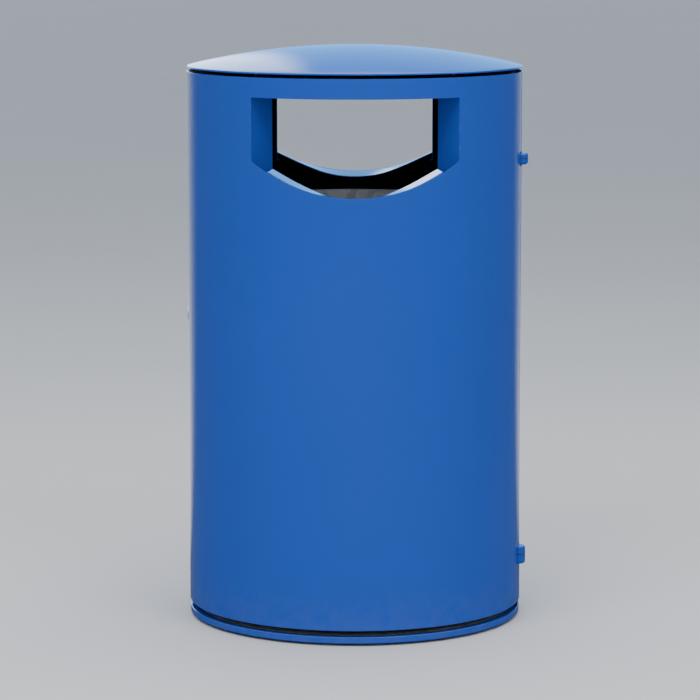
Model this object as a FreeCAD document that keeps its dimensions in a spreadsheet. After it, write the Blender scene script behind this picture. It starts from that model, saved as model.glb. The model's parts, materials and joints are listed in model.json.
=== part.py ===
import FreeCAD, Part
import math
import os
import re

import Sketcher
from FreeCAD import Placement, Rotation, Vector

# Round steel litter bin with two open mouths, a hinged front half and a lift-out liner.
# Millimetres. +Z is up, the origin is on the ground under the centre, and -Y is the front.
# Turns are degrees about +Z from +X. The hinge side is +X, the lock side is -X.

SIZES = (
    ("shell_radius", 265.0),        # outside of the painted shell
    ("shell_height", 844.5),
    ("skin", 2.0),                  # sheet of the shell, the mouths and the lid
    ("foot_gap", 4.5),              # ground to the underside of the base ring
    ("ring_height", 10.1),
    ("ring_width", 12.0),
    ("ring_inset", 0.8),            # base ring inside the line of the shell
    ("plinth_gap", 9.7),            # dark gap between base ring and shell
    ("plate_thickness", 4.0),
    ("plinth_height", 26.0),
    ("plinth_sheet", 3.0),
    ("plinth_inset", 4.0),          # plinth ring inside the posts
    ("foot_radius", 25.0),
    ("foot_inset", 36.2),           # middle of a foot inside the edge of the plate
    ("foot_screw", 4.0),
    ("anchor_circle", 150.0),
    ("anchor_hole", 6.5),           # radius, for 12 mm ground anchors
    ("drain_hole", 12.0),
    ("lid_gap", 5.3),               # shadow gap between shell and lid
    ("lid_rise", 34.9),
    ("lid_edge", 3.0),
    ("lid_inset", 0.5),
    ("lid_bolt_inset", 14.0),       # lid bolts outside the inner edge of the top ring
    ("lid_bolt", 4.0),
    ("lid_bolt_head", 3.5),
    ("lid_nut_height", 6.5),
    ("lid_frame_sheet", 2.5),
    ("lid_frame_inset", 7.0),
    ("crossbar_width", 30.0),
    ("crossbar_thickness", 3.0),
    ("bolt_clearance", 0.4),
    ("spacer_radius", 9.0),
    ("top_ring_width", 36.0),
    ("top_ring_thickness", 6.0),
    ("frame_sheet", 2.5),           # pressed frame channels and rails
    ("post_depth", 27.0),
    ("post_width", 32.4),           # measured round the shell, as are the next two
    ("lock_post_width", 46.3),
    ("bracket_width", 27.8),
    ("bracket_depth", 27.0),        # upper tabs, clear of the lid nuts
    ("rail_depth", 9.0),
    ("rail_height", 14.0),
    ("middle_rail_level", 420.0),
    ("door_clearance", 2.0),        # moving door to the fixed rings
    ("seam_turn", -10.0),           # hinge line, turned from +X
    ("seam_gap", 2.96),             # between the edges of the two half shells
    ("mouth_half_width", 158.0),
    ("mouth_drop", 30.8),           # top of the mouths below the top of the shell
    ("mouth_side_height", 96.0),
    ("mouth_sag", 53.0),            # middle of the smile below its ends
    ("throat_inset", 56.0),         # shell to the circle that holds the panels' inner edges
    ("cheek_flare", 31.5),          # each side panel leans outwards by this much
    ("throat_corner_drop", 15.5),   # inner end of the sill below the outer one
    ("sill_flare", 11.5),           # sill wider at the shell than at the throat, each side
    ("sill_slope", 26.0),           # degrees, straight flanks of the sill at the throat
    ("sill_bend", 56.0),            # half width of its rounded middle at the throat
    ("cheek_drop", 14.0),           # side panels below the sill's end
    ("toe_lap", 4.0),               # foot of a side panel under the sill
    ("hinge_outset", 1.0),          # hinge axis outside the shell
    ("barrel_radius", 10.0),
    ("barrel_round", 5.0),
    ("barrel_clearance", 0.8),
    ("washer_thickness", 1.2),
    ("running_clearance", 0.05),
    ("slide_gap", 0.3),             # faces that turn on each other
    ("pin_radius", 4.5),
    ("top_hinge_drop", 135.9),      # below the top of the shell
    ("top_hinge_height", 19.3),
    ("bottom_hinge_level", 100.6),
    ("bottom_hinge_height", 30.3),
    ("barrel_cap", 3.0),
    ("leaf_thickness", 3.0),
    ("leaf_gap", 0.22),             # hinge leaf to the web beside it
    ("leaf_length", 24.0),
    ("lock_level", 480.0),
    ("lock_offset", 25.44),         # lock centre to the seam, round the shell
    ("housing_radius", 10.0),
    ("housing_head_radius", 14.0),
    ("housing_head", 1.6),
    ("plug_radius", 6.5),
    ("key_recess", 6.0),
    ("key_side", 7.0),
    ("cam_gap", 3.2),
    ("cam_thickness", 3.0),
    ("cam_width", 13.0),
    ("cam_reach", 25.0),
    ("spigot_radius", 4.0),
    ("cam_screw_radius", 2.5),
    ("cam_screw_head", 5.0),
    ("lock_nut_radius", 15.0),
    ("lock_nut_thickness", 5.0),
    ("keeper_width", 12.0),
    ("keeper_sheet", 3.0),
    ("keeper_clearance", 3.0),
    ("keeper_foot", 16.0),
    ("buffer_radius", 6.0),
    ("buffer_thickness", 2.0),
    ("liner_side_gap", 9.0),        # liner to the inner edges of the mouth panels
    ("liner_sheet", 1.2),
    ("liner_top_gap", 16.2),        # rim below the lowest point of the sills
    ("liner_bead", 3.0),
    ("liner_drain", 5.0),
    ("liner_drain_circle", 120.0),
    ("locator_clearance", 3.0),
    ("locator_height", 22.0),
    ("locator_sheet", 3.0),
    ("handle_wire", 3.0),
    ("handle_below_rim", 35.0),
    ("handle_half_width", 50.0),
    ("handle_drop", 38.0),
    ("handle_bend", 9.0),
    ("handle_standoff", 8.0),
    ("handle_end", 14.0),
    ("lug_gap", 1.5),
    ("lug_thickness", 3.0),
    ("lug_radius", 8.0),
)

LAYOUT = (
    ("inner_radius", "shell_radius - skin"),
    ("ring_top", "foot_gap + ring_height"),
    ("ring_radius", "shell_radius - ring_inset"),
    ("anchor_offset", "anchor_circle * cos(45)"),
    ("plate_bottom", "foot_gap + ring_height - plate_thickness"),
    ("plate_radius", "shell_radius - ring_inset - ring_width"),
    ("foot_circle", "plate_radius - foot_inset"),
    ("shell_bottom", "ring_top + plinth_gap"),
    ("shell_top", "shell_bottom + shell_height"),
    ("lid_bottom", "shell_top + lid_gap"),
    ("lid_radius", "shell_radius - lid_inset"),
    ("lid_shoulder", "lid_bottom + lid_edge"),
    ("lid_inner_radius", "lid_radius - skin"),
    ("dome_rise", "lid_rise - lid_edge"),
    ("dome_radius", "(lid_radius ^ 2 + dome_rise ^ 2) / (2 * dome_rise)"),
    ("dome_inner_radius", "dome_radius - skin"),
    ("lid_apex", "lid_bottom + lid_rise"),
    ("lid_frame_radius", "lid_inner_radius - lid_frame_inset"),
    ("lid_frame_top", "lid_bottom + lid_frame_sheet"),
    ("lid_bolt_hole", "lid_bolt + bolt_clearance"),
    ("lid_inner_apex", "lid_apex - skin"),
    ("lid_inner_shoulder",
     "lid_apex - dome_radius + sqrt(dome_inner_radius ^ 2 - lid_inner_radius ^ 2)"),
    ("post_inner_radius", "inner_radius - post_depth"),
    ("rail_inner_radius", "inner_radius - rail_depth"),
    ("top_ring_radius", "rail_inner_radius - door_clearance"),
    ("top_ring_inner", "top_ring_radius - top_ring_width"),
    ("lid_bolt_circle", "top_ring_inner + lid_bolt_inset"),
    ("lid_bolt_offset", "lid_bolt_circle * cos(45)"),
    ("top_ring_bottom", "shell_top - top_ring_thickness"),
    ("frame_turn", "frame_sheet / inner_radius * 180 / pi"),
    ("post_turn", "post_width / shell_radius * 180 / pi"),
    ("lock_post_turn", "lock_post_width / shell_radius * 180 / pi"),
    ("bracket_turn", "bracket_width / shell_radius * 180 / pi"),
    ("seam_half_gap", "seam_gap / shell_radius * 90 / pi"),
    ("lock_turn", "lock_offset / shell_radius * 180 / pi"),
    ("rear_start", "seam_turn + seam_half_gap"),
    ("rear_end", "seam_turn + 180 - seam_half_gap"),
    ("half_sweep", "180 - 2 * seam_half_gap"),
    ("door_start", "seam_turn + 180 + seam_half_gap"),
    ("door_end", "seam_turn + 360 - seam_half_gap"),
    ("plinth_radius", "post_inner_radius - plinth_inset"),
    ("plinth_inner", "plinth_radius - plinth_sheet"),
    ("mouth_top", "shell_top - mouth_drop"),
    ("mouth_side_bottom", "mouth_top - mouth_side_height"),
    ("mouth_bottom", "mouth_side_bottom - mouth_sag"),
    ("throat_radius", "shell_radius - throat_inset"),
    ("throat_half_width", "mouth_half_width - cheek_flare"),
    ("throat_corner", "mouth_side_bottom - throat_corner_drop"),
    ("sill_half_width", "throat_half_width + sill_flare"),
    ("mouth_curve", "(mouth_half_width ^ 2 + mouth_sag ^ 2) / (2 * mouth_sag)"),
    ("throat_depth", "sqrt(throat_radius ^ 2 - throat_half_width ^ 2)"),
    ("mouth_depth", "sqrt(inner_radius ^ 2 - mouth_half_width ^ 2)"),
    ("cheek_run", "sqrt((mouth_half_width - throat_half_width) ^ 2 + (mouth_depth - throat_depth) ^ 2)"),
    ("cheek_out_x", "skin * (mouth_depth - throat_depth) / cheek_run"),
    ("cheek_out_y", "skin * (mouth_half_width - throat_half_width) / cheek_run"),
    ("cheek_back_x", "throat_half_width + cheek_out_x"),
    ("cheek_back_y", "throat_depth - cheek_out_y"),
    ("cheek_outer_x", "mouth_half_width + cheek_out_x"),
    ("cheek_outer_y", "sqrt(inner_radius ^ 2 - cheek_outer_x ^ 2)"),
    ("cheek_bottom", "throat_corner - cheek_drop"),
    ("roof_slope", "(mouth_half_width - throat_half_width) / (mouth_depth - throat_depth)"),
    ("roof_wide_x", "cheek_back_x + roof_slope * (shell_radius - cheek_back_y)"),
    ("smile_centre", "mouth_bottom + mouth_curve"),
    ("sill_end_level", "smile_centre - sqrt(mouth_curve ^ 2 - sill_half_width ^ 2)"),
    ("sill_end_under", "sill_end_level - skin"),
    ("front_bend", "sill_bend * sill_half_width / throat_half_width"),
    ("front_bend_level", "smile_centre - sqrt(mouth_curve ^ 2 - front_bend ^ 2)"),
    ("front_bend_under", "front_bend_level - skin"),
    ("throat_corner_under", "throat_corner - skin"),
    ("back_bend_level", "throat_corner - (throat_half_width - sill_bend) * tan(sill_slope)"),
    ("back_bend_under", "back_bend_level - skin"),
    ("back_curve", "sill_bend / sin(sill_slope)"),
    ("sill_bottom", "back_bend_level - back_curve * (1 - cos(sill_slope))"),
    ("toe_x", "throat_half_width - toe_lap"),
    ("toe_y", "sqrt(inner_radius ^ 2 - toe_x ^ 2)"),
    ("toe_back_y", "sqrt(throat_radius ^ 2 - toe_x ^ 2)"),
    ("hinge_radius", "shell_radius + hinge_outset"),
    ("top_hinge_level", "shell_top - top_hinge_drop"),
    ("leaf_offset", "seam_gap / 2 + frame_sheet + leaf_gap"),
    ("hinge_x", "hinge_radius * cos(seam_turn)"),
    ("hinge_y", "hinge_radius * sin(seam_turn)"),
    ("notch_radius", "barrel_radius + barrel_clearance"),
    ("barrel_shoulder_x", "barrel_radius - barrel_round"),
    ("casing_face", "washer_thickness / 2"),
    ("door_face", "washer_thickness / 2 + slide_gap"),
    ("top_barrel_end", "top_hinge_height / 2"),
    ("top_barrel_shoulder", "top_barrel_end - barrel_round"),
    ("top_bore_end", "top_barrel_end - barrel_cap"),
    ("bottom_barrel_end", "bottom_hinge_height / 2"),
    ("bottom_barrel_shoulder", "bottom_barrel_end - barrel_round"),
    ("bottom_bore_end", "bottom_barrel_end - barrel_cap"),
    ("bore_radius", "pin_radius + running_clearance"),
    ("lock_frame_turn", "seam_turn + lock_turn"),
    ("housing_end", "post_inner_radius - slide_gap"),
    ("nut_face", "sqrt((inner_radius - frame_sheet) ^ 2 - lock_nut_radius ^ 2)"),
    ("cam_outer", "post_inner_radius - cam_gap"),
    ("cam_inner", "cam_outer - cam_thickness"),
    ("keeper_outer", "cam_inner - keeper_clearance"),
    ("keeper_inner", "keeper_outer - keeper_sheet"),
    ("keeper_near", "cam_width / 2 + keeper_clearance"),
    ("keeper_foot_near", "post_inner_radius * sin(lock_turn + 2 * seam_half_gap) + keeper_sheet"),
    ("keeper_far", "keeper_foot_near + keeper_foot"),
    ("liner_radius", "throat_radius - liner_side_gap"),
    ("liner_inner", "liner_radius - liner_sheet"),
    ("liner_top", "sill_bottom - liner_top_gap"),
    ("liner_body_top", "liner_top - liner_bead"),
    ("locator_inner", "liner_radius + locator_clearance"),
    ("locator_outer", "locator_inner + locator_sheet"),
    ("handle_reach", "liner_radius + handle_standoff"),
    ("handle_level", "liner_top - handle_below_rim"),
    ("handle_low", "handle_level - handle_drop"),
    ("handle_low_corner", "handle_low + handle_bend"),
    ("handle_high_corner", "handle_level - handle_bend"),
    ("handle_corner_x", "handle_half_width - handle_bend"),
    ("handle_end_x", "handle_half_width - handle_end"),
    ("lug_near_x", "handle_end_x + lug_gap"),
)

FULL_TURN = "360"
UP = Vector(0, 0, 1)
FEET = 4
ANCHORS = 4
LID_BOLTS = 4
LINER_DRAINS = 3
REAR_BRACKET_TURNS = ("52", "128")
BUFFER_LEVELS = ("250", "640")
HINGES = ("top", "bottom")
NODES = []                          # finished sub-parts, in order

doc = FreeCAD.newDocument("litter_bin")


def make_sheet(name, rows):
    """Spreadsheet with one named cell for each (alias, contents) row."""
    cells = doc.addObject("Spreadsheet::Sheet", name)
    for row, (alias, contents) in enumerate(rows, start=1):
        cells.set(f"A{row}", alias)
        cells.set(f"B{row}", contents)
        cells.setAlias(f"B{row}", alias)
    return cells


def expression(text):
    """Put the sheet's name before every size that the formula uses."""
    def with_sheet(word):
        if word.group() in SIZE_NAMES:
            return "Sizes." + word.group()
        if word.group() in LAYOUT_NAMES:
            return "Layout." + word.group()
        return word.group()
    return re.sub(r"[a-z][a-z_]*", with_sheet, text)


SIZE_NAMES = {alias for alias, value in SIZES}
LAYOUT_NAMES = {alias for alias, formula in LAYOUT}
sizes = make_sheet("Sizes", [(alias, str(value)) for alias, value in SIZES])
doc.recompute()
layout = make_sheet("Layout", [(alias, "=" + expression(text)) for alias, text in LAYOUT])
doc.recompute()


def number(name):
    """Current value of a cell, with a leading minus allowed."""
    if name == "0":
        return 0.0
    if name.startswith("-"):
        return -number(name[1:])
    source = sizes if name in SIZE_NAMES else layout
    return float(source.get(name))


def bind(item, links):
    """Bind properties of an object to formulas of the sheets."""
    for path, text in links.items():
        item.setExpression(path, expression(text))


def place(item, turn="0", level="0", at_x="0", at_y="0"):
    """Turn an object about +Z and move it, bound to formulas."""
    item.Placement = Placement(Vector(), Rotation(UP, 1.0))
    bind(item, {
        "Placement.Rotation.Angle": turn,
        "Placement.Base.x": at_x,
        "Placement.Base.y": at_y,
        "Placement.Base.z": level,
    })
    return item


def node(item, name):
    """Name a finished sub-part and put it on the list to write."""
    item.Label = name
    NODES.append((name, item))
    return item


# --- primitives and booleans ---------------------------------------------------------------

def cylinder(name, radius, height, level, turn="0", sweep=FULL_TURN, at_x="0", at_y="0"):
    item = doc.addObject("Part::Cylinder", name)
    bind(item, {"Radius": radius, "Height": height, "Angle": sweep})
    return place(item, turn, level, at_x, at_y)


def lying(name, kind, lengths, at_x, at_y="0", at_z="0", axis=Vector(0, 1, 0)):
    """Primitive laid over so that its own +Z points along +X, or as the axis says."""
    item = doc.addObject(kind, name)
    item.Placement = Placement(Vector(), Rotation(axis, 90))
    bind(item, lengths)
    bind(item, {"Placement.Base.x": at_x, "Placement.Base.y": at_y, "Placement.Base.z": at_z})
    return item


def rod(name, radius, length, at_x, at_y="0", at_z="0"):
    """Cylinder along +X from the given place."""
    return lying(name, "Part::Cylinder", {"Radius": radius, "Height": length}, at_x, at_y, at_z)


def box(name, lows, spans):
    """Box from its low corner and its three lengths."""
    item = doc.addObject("Part::Box", name)
    bind(item, dict(zip(("Length", "Width", "Height"), spans)))
    bind(item, dict(zip(("Placement.Base.x", "Placement.Base.y", "Placement.Base.z"), lows)))
    return item


def cut(name, base, *tools):
    """Base less each tool in turn."""
    for count, tool in enumerate(tools, start=1):
        step = doc.addObject("Part::Cut", f"{name}_cut_{count}")
        step.Base = base
        step.Tool = tool
        base = step
    return base


def fuse(name, *items):
    item = doc.addObject("Part::MultiFuse", name + "_fused")
    item.Shapes = list(items)
    item.Refine = True
    return item


def common(name, first, second):
    item = doc.addObject("Part::Common", name + "_common")
    item.Base = first
    item.Tool = second
    return item


def group(name, items):
    """Several solids held as one object."""
    item = doc.addObject("Part::Compound", name + "_group")
    item.Links = items
    return item


def mirrored(name, source, normal):
    item = doc.addObject("Part::Mirroring", name + "_mirror")
    item.Source = source
    item.Normal = normal
    return item


def band(name, outer, inner, level, height, turn="0", sweep=FULL_TURN):
    """Upright band between two radii over a sweep of turn."""
    outside = cylinder(name + "_outside", outer, height, level, turn, sweep)
    inside = cylinder(name + "_inside", inner, height, level)
    return cut(name + "_band", outside, inside)


# --- sketches and bodies -------------------------------------------------------------------

def new_sketch(body, name, plane, level="0"):
    """Sketch on one of the body's own origin planes, moved along the plane's normal."""
    sketch = body.newObject("Sketcher::SketchObject", name)
    support = [part for part in body.Origin.OriginFeatures if part.Role == plane]
    sketch.AttachmentSupport = [(support[0], "")]
    sketch.MapMode = "FlatFace"
    bind(sketch, {"AttachmentOffset.Base.z": level})
    return sketch


def free_section(name, depth):
    """Sketch in the XZ plane, moved to a depth along -Y."""
    sketch = doc.addObject("Sketcher::SketchObject", name)
    sketch.Placement = Placement(Vector(), Rotation(Vector(1, 0, 0), 90))
    bind(sketch, {"Placement.Base.y": f"-({depth})"})
    return sketch


def fix_point(sketch, edge, end, at_x, at_y):
    """Hold an edge's end, or a circle's centre, at a place given by two cells."""
    for kind, text in (("DistanceX", at_x), ("DistanceY", at_y)):
        if text == "0":
            axis = -2 if kind == "DistanceX" else -1
            sketch.addConstraint(Sketcher.Constraint("PointOnObject", edge, end, axis))
            continue
        point = sketch.getPoint(edge, end)
        now = point.x if kind == "DistanceX" else point.y
        index = sketch.addConstraint(Sketcher.Constraint(kind, -1, 1, edge, end, now))
        bind(sketch, {f"Constraints[{index}]": text})


def fix_radius(sketch, edge, radius):
    index = sketch.addConstraint(Sketcher.Constraint("Radius", edge, number(radius)))
    bind(sketch, {f"Constraints[{index}]": radius})


def add_circle(sketch, radius, at_x="0", at_y="0"):
    """Circle of a named radius about a point given by cell names."""
    centre = Vector(number(at_x), number(at_y), 0)
    edge = sketch.addGeometry(Part.Circle(centre, UP, number(radius)))
    fix_radius(sketch, edge, radius)
    fix_point(sketch, edge, 3, at_x, at_y)


def add_arc(sketch, start, finish, radius, side):
    """Arc between two points; gives its number and which of its ends comes first."""
    span = finish - start
    reach = math.sqrt(number(radius) ** 2 - (span.Length / 2) ** 2)
    left = Vector(-span.y, span.x, 0).normalize()
    centre = (start + finish) * 0.5 + left * (reach * side)
    turns = [math.atan2(point.y - centre.y, point.x - centre.x) for point in (start, finish)]
    circle = Part.Circle(centre, UP, number(radius))
    ends = (1, 2)
    if side < 0:
        turns.reverse()
        ends = (2, 1)
    edge = sketch.addGeometry(Part.ArcOfCircle(circle, turns[0], turns[1]))
    fix_radius(sketch, edge, radius)
    return (edge, *ends)


def add_outline(sketch, corners, bends=None, closed=True):
    """Outline through corners given by cell names.

    bends maps an edge's number to (radius, side): side 1 has the arc's centre on the left
    of the way round, and side -1 on the right.
    """
    bends = bends or {}
    points = [Vector(number(x), number(y), 0) for x, y in corners]
    edges = []
    for index in range(len(points) if closed else len(points) - 1):
        start = points[index]
        finish = points[(index + 1) % len(points)]
        if index in bends:
            radius, side = bends[index]
            edges.append(add_arc(sketch, start, finish, radius, side))
        else:
            edge = sketch.addGeometry(Part.LineSegment(start, finish))
            edges.append((edge, 1, 2))
    for index, (edge, first, last) in enumerate(edges):
        fix_point(sketch, edge, first, *corners[index])
        if closed or index + 1 < len(edges):
            after = edges[(index + 1) % len(edges)]
            sketch.addConstraint(Sketcher.Constraint("Coincident", edge, last, after[0], after[1]))
        else:
            fix_point(sketch, edge, last, *corners[index + 1])


def pad(body, sketch, length):
    feature = body.newObject("PartDesign::Pad", sketch.Name + "_pad")
    feature.Profile = sketch
    bind(feature, {"Length": length})


def bore(body, name, level, radius, at_x="0", at_y="0", copies=1):
    """Round hole up through the body from a level below it, repeated round the axis."""
    doc.recompute()
    volume = body.Shape.Volume
    sketch = new_sketch(body, name + "_sketch", "XY_Plane", level)
    add_circle(sketch, radius, at_x, at_y)
    pocket = body.newObject("PartDesign::Pocket", name)
    pocket.Profile = sketch
    pocket.Type = "ThroughAll"
    pocket.Reversed = True
    if copies > 1:
        pattern = body.newObject("PartDesign::PolarPattern", name + "_pattern")
        pattern.Originals = [pocket]
        axis = [part for part in body.Origin.OriginFeatures if part.Role == "Z_Axis"]
        pattern.Axis = (axis[0], [""])
        pattern.Angle = 360
        pattern.Occurrences = copies
        body.Tip = pattern
    doc.recompute()
    if body.Shape.Volume >= volume:
        raise RuntimeError(f"{name} cuts nothing")


def ring_body(name, outer, inner, level, height):
    """Padded flat ring, or a disc where inner is None."""
    body = doc.addObject("PartDesign::Body", name)
    sketch = new_sketch(body, name + "_sketch", "XY_Plane", level)
    add_circle(sketch, outer)
    if inner:
        add_circle(sketch, inner)
    pad(body, sketch, height)
    return body


def revolved_body(name, corners, bends=None):
    """Profile in the XZ plane turned about the body's Z axis."""
    body = doc.addObject("PartDesign::Body", name)
    sketch = new_sketch(body, name + "_sketch", "XZ_Plane")
    add_outline(sketch, corners, bends)
    feature = body.newObject("PartDesign::Revolution", name + "_turned")
    feature.Profile = sketch
    feature.ReferenceAxis = (sketch, ["V_Axis"])
    feature.Angle = 360
    return body


def around(name, count, first_turn, make):
    """One piece repeated evenly round the axis of the bin."""
    turns = [f"({first_turn} + {index} * 360 / {count})" for index in range(count)]
    return group(name, [make(f"{name}_{index}", turn) for index, turn in enumerate(turns)])


def on_circle(circle, turn):
    """Place on a named circle, as the two formulas of its centre."""
    return {"at_x": f"{circle} * cos({turn})", "at_y": f"{circle} * sin({turn})"}


# --- base ----------------------------------------------------------------------------------

def foot_pad(name, turn):
    where = on_circle("foot_circle", turn)
    disc = cylinder(name + "_disc", "foot_radius", "plate_bottom", "0", **where)
    hole = cylinder(name + "_hole", "foot_screw", "plate_bottom", "0", **where)
    return cut(name, disc, hole)


def foot_screw(name, turn):
    where = on_circle("foot_circle", turn)
    shank = cylinder(name + "_shank", "foot_screw", "ring_top - foot_gap", "foot_gap", **where)
    head = cylinder(name + "_head", "foot_screw * 1.75", "foot_screw", "ring_top", **where)
    return fuse(name, shank, head)


def build_base():
    ring = ring_body("base_ring", "ring_radius", "plate_radius", "foot_gap", "ring_height")
    node(ring, "base_ring")
    plate = ring_body("base_plate", "plate_radius", None, "plate_bottom", "plate_thickness")
    bore(plate, "drain", "foot_gap", "drain_hole")
    bore(plate, "anchor", "foot_gap", "anchor_hole", "anchor_offset", "anchor_offset", ANCHORS)
    bore(plate, "foot_fixing", "foot_gap", "foot_screw", "foot_circle", "0", FEET)
    node(plate, "base_plate")
    plinth = ring_body("plinth_ring", "plinth_radius", "plinth_inner", "ring_top", "plinth_height")
    node(plinth, "plinth_ring")
    locator = ring_body("liner_locator", "locator_outer", "locator_inner", "ring_top",
                        "locator_height")
    node(locator, "liner_locator")
    node(around("foot_pads", FEET, "0", foot_pad), "foot_pads")
    node(around("foot_screws", FEET, "0", foot_screw), "foot_screws")


# --- frame ---------------------------------------------------------------------------------

def channel(name, turn, sweep, web_first, level, height):
    """Upright channel that follows the shell, with its web on the seam's side."""
    block = band(name + "_block", "inner_radius", "post_inner_radius", level, height, turn, sweep)
    hollow_turn = f"{turn} + frame_turn" if web_first else f"{turn} - frame_turn"
    hollow = band(name + "_hollow", "inner_radius - frame_sheet",
                  "post_inner_radius + frame_sheet", level, height, hollow_turn, sweep)
    return cut(name, block, hollow)


def hinge_notches(name):
    """Clearance round both hinge barrels, to be cut out of what they stand in."""
    tools = []
    for hinge in HINGES:
        level = f"{hinge}_hinge_level - {hinge}_barrel_end - barrel_clearance"
        height = f"2 * ({hinge}_barrel_end + barrel_clearance)"
        tools.append(cylinder(f"{name}_{hinge}_notch", "notch_radius", height, level,
                              at_x="hinge_x", at_y="hinge_y"))
    return tools


def at_lock(item):
    """Place a piece drawn about the lock's axis, which runs along the piece's own X."""
    return place(group(item.Name, [item]), "lock_frame_turn", "lock_level")


def lock_hole(name):
    tool = rod(name + "_lock_hole", "housing_radius", "post_depth + housing_radius",
               "-shell_radius - housing_head")
    return at_lock(tool)


def rear_bracket(name, turn, tab_end, tab_level, leg_level, leg):
    """Tab under or over a flat ring, with a leg along the inside of the rear shell."""
    tab = band(name + "_tab", "inner_radius", tab_end, tab_level, "frame_sheet",
               turn, "bracket_turn")
    upright = band(name + "_leg", "inner_radius", "inner_radius - frame_sheet", leg_level, leg,
                   turn, "bracket_turn")
    return fuse(name, tab, upright)


def build_frame():
    level = "ring_top"
    height = "top_ring_bottom - ring_top"
    post = channel("hinge_post", "rear_start", "post_turn", True, level, height)
    node(cut("hinge_post_notched", post, *hinge_notches("hinge_post")), "hinge_post")
    lock_start = "rear_end - lock_post_turn"
    node(channel("lock_post", lock_start, "lock_post_turn", False, level, height), "lock_post")
    ring = ring_body("top_ring", "top_ring_radius", "top_ring_inner", "top_ring_bottom",
                     "top_ring_thickness")
    bore(ring, "top_ring_hole", "shell_bottom", "lid_bolt_hole", "lid_bolt_offset",
         "lid_bolt_offset", LID_BOLTS)
    node(ring, "top_ring")
    upper = []
    lower = []
    for index, turn in enumerate(REAR_BRACKET_TURNS):
        upper.append(rear_bracket(f"ring_bracket_{index}", turn, "inner_radius - bracket_depth",
                                  "top_ring_bottom - frame_sheet",
                                  "top_ring_bottom - rail_height", "rail_height"))
        lower.append(rear_bracket(f"base_bracket_{index}", turn, "post_inner_radius",
                                  "ring_top", "ring_top", "plinth_height"))
    node(group("ring_brackets", upper), "ring_brackets")
    node(group("base_brackets", lower), "base_brackets")


# --- shells and door frame -----------------------------------------------------------------

def mouth_prism():
    """Outline of the mouths, run through the whole bin from rear to front."""
    body = doc.addObject("PartDesign::Body", "mouth_prism")
    sketch = new_sketch(body, "mouth_outline", "XZ_Plane", "-(shell_radius + lid_gap)")
    corners = [
        ("-mouth_half_width", "mouth_top"),
        ("mouth_half_width", "mouth_top"),
        ("mouth_half_width", "mouth_side_bottom"),
        ("-mouth_half_width", "mouth_side_bottom"),
    ]
    add_outline(sketch, corners, {2: ("mouth_curve", -1)})
    pad(body, sketch, "2 * (shell_radius + lid_gap)")
    return body


def build_shells():
    mouth = mouth_prism()
    for name, start in (("rear_shell", "rear_start"), ("door_shell", "door_start")):
        skin = band(name, "shell_radius", "inner_radius", "shell_bottom", "shell_height",
                    start, "half_sweep")
        tools = [mouth] + hinge_notches(name)
        if name == "door_shell":
            tools.append(lock_hole(name))
        node(cut(name, skin, *tools), name)


def rail(name, level, leg_on_top):
    """Pressed rail across the door: a flat leg to the shell and an upright leg inside."""
    turn = "door_start + lock_post_turn"
    sweep = "half_sweep - lock_post_turn - post_turn"
    block = band(name + "_block", "inner_radius", "rail_inner_radius", level, "rail_height",
                 turn, sweep)
    hollow_level = level if leg_on_top else f"{level} + frame_sheet"
    hollow = band(name + "_hollow", "shell_radius", "rail_inner_radius + frame_sheet",
                  hollow_level, "rail_height - frame_sheet", turn, sweep)
    return cut(name, block, hollow)


def build_door_frame():
    level = "shell_bottom"
    height = "top_ring_bottom - door_clearance - shell_bottom"
    hinge_start = "door_end - post_turn"
    stile = channel("door_hinge_stile", hinge_start, "post_turn", False, level, height)
    notches = hinge_notches("door_hinge_stile")
    node(cut("door_hinge_stile_notched", stile, *notches), "door_hinge_stile")
    stile = channel("door_lock_stile", "door_start", "lock_post_turn", True, level, height)
    node(cut("door_lock_stile_bored", stile, lock_hole("door_lock_stile")), "door_lock_stile")
    node(rail("door_top_rail", "shell_top - rail_height", True), "door_top_rail")
    node(rail("door_middle_rail", "middle_rail_level", True), "door_middle_rail")
    node(rail("door_bottom_rail", "shell_bottom", False), "door_bottom_rail")


# --- mouths --------------------------------------------------------------------------------

def right_cheek():
    """Side panel of the front mouth, with a foot turned in under the end of the sill."""
    body = doc.addObject("PartDesign::Body", "cheek")
    wall = new_sketch(body, "cheek_wall", "XY_Plane", "cheek_bottom")
    corners = [
        ("throat_half_width", "-throat_depth"),
        ("mouth_half_width", "-mouth_depth"),
        ("cheek_outer_x", "-cheek_outer_y"),
        ("cheek_back_x", "-cheek_back_y"),
    ]
    add_outline(wall, corners, {1: ("inner_radius", 1)})
    pad(body, wall, "mouth_top - cheek_bottom")
    foot = new_sketch(body, "cheek_foot", "XY_Plane", "cheek_bottom")
    corners = [
        ("throat_half_width", "-throat_depth"),
        ("mouth_half_width", "-mouth_depth"),
        ("toe_x", "-toe_y"),
        ("toe_x", "-toe_back_y"),
    ]
    add_outline(foot, corners, {1: ("inner_radius", -1)})
    pad(body, foot, "skin")
    return body


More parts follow.
